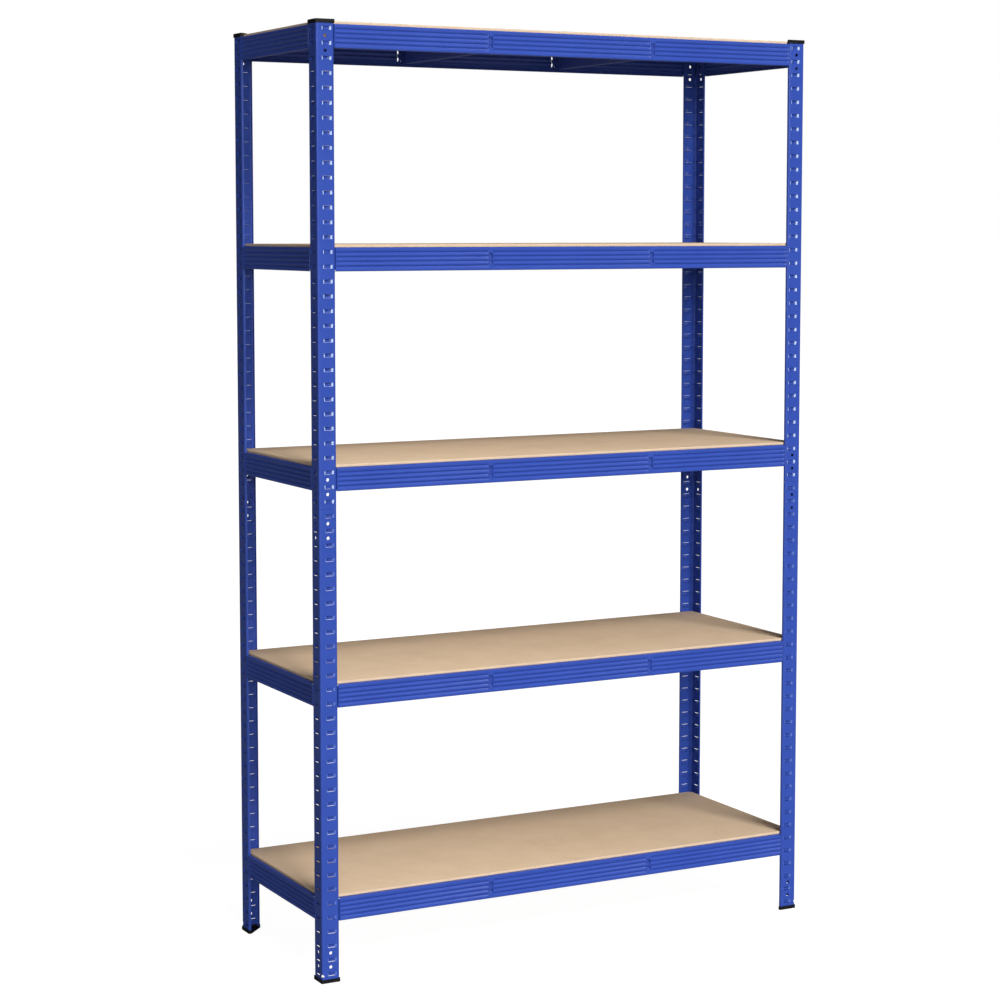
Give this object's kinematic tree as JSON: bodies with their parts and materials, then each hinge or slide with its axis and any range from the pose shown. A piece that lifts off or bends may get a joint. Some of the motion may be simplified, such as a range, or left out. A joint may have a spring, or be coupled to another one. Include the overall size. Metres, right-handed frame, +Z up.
{
  "type": "boltless steel shelving",
  "caption": "Free-standing boltless shelving: slotted angle posts, hooked channel beams, crossbars and loose fibreboard shelves, with plastic caps and feet.",
  "frame": {"origin": "on the floor, at the middle of the footprint of the four feet", "axes": "+X to the right along the long beams, +Y from front to rear, +Z up along the posts"},
  "size_m": [1.2024, 0.4474, 2],
  "materials": {
    "post_steel": "blue powder coat, satin, fine orange peel",
    "splice_steel": "blue powder coat, satin",
    "beam_steel": "blue powder coat, satin, rolled ribs",
    "crossbar_steel": "blue powder coat, satin",
    "cap_plastic": "black moulded plastic, matte",
    "board": "raw fibreboard, matte, with sawn lighter edges"
  },
  "bodies": {
    "rack": {"beam_front_1": "beam_steel", "beam_front_2": "beam_steel", "beam_front_3": "beam_steel", "beam_front_4": "beam_steel", "beam_front_5": "beam_steel", "beam_left_1": "beam_steel", "beam_left_2": "beam_steel", "beam_left_3": "beam_steel", "beam_left_4": "beam_steel", "beam_left_5": "beam_steel", "beam_rear_1": "beam_steel", "beam_rear_2": "beam_steel", "beam_rear_3": "beam_steel", "beam_rear_4": "beam_steel", "beam_rear_5": "beam_steel", "beam_right_1": "beam_steel", "beam_right_2": "beam_steel", "beam_right_3": "beam_steel", "beam_right_4": "beam_steel", "beam_right_5": "beam_steel", "board_5": "board", "cap_front_left": "cap_plastic", "cap_front_right": "cap_plastic", "cap_rear_left": "cap_plastic", "cap_rear_right": "cap_plastic", "crossbar_left_1": "crossbar_steel", "crossbar_left_2": "crossbar_steel", "crossbar_left_3": "crossbar_steel", "crossbar_left_4": "crossbar_steel", "crossbar_left_5": "crossbar_steel", "crossbar_right_1": "crossbar_steel", "crossbar_right_2": "crossbar_steel", "crossbar_right_3": "crossbar_steel", "crossbar_right_4": "crossbar_steel", "crossbar_right_5": "crossbar_steel", "foot_front_left": "cap_plastic", "foot_front_right": "cap_plastic", "foot_rear_left": "cap_plastic", "foot_rear_right": "cap_plastic", "post_lower_front_left": "post_steel", "post_lower_front_right": "post_steel", "post_lower_rear_left": "post_steel", "post_lower_rear_right": "post_steel", "post_upper_front_left": "post_steel", "post_upper_front_right": "post_steel", "post_upper_rear_left": "post_steel", "post_upper_rear_right": "post_steel", "splice_front_left": "splice_steel", "splice_front_right": "splice_steel", "splice_rear_left": "splice_steel", "splice_rear_right": "splice_steel"},
    "loose_board_1": {"board_1": "board"},
    "loose_board_2": {"board_2": "board"},
    "loose_board_3": {"board_3": "board"},
    "loose_board_4": {"board_4": "board"}
  },
  "joints": [
    {"name": "board_1_lift", "type": "slide", "parent": "rack", "child": "loose_board_1", "axis": [0, 0, 1], "range_m": [0, 0.39]},
    {"name": "board_2_lift", "type": "slide", "parent": "rack", "child": "loose_board_2", "axis": [0, 0, 1], "range_m": [0, 0.39]},
    {"name": "board_3_lift", "type": "slide", "parent": "rack", "child": "loose_board_3", "axis": [0, 0, 1], "range_m": [0, 0.39]},
    {"name": "board_4_lift", "type": "slide", "parent": "rack", "child": "loose_board_4", "axis": [0, 0, 1], "range_m": [0, 0.39]}
  ]
}
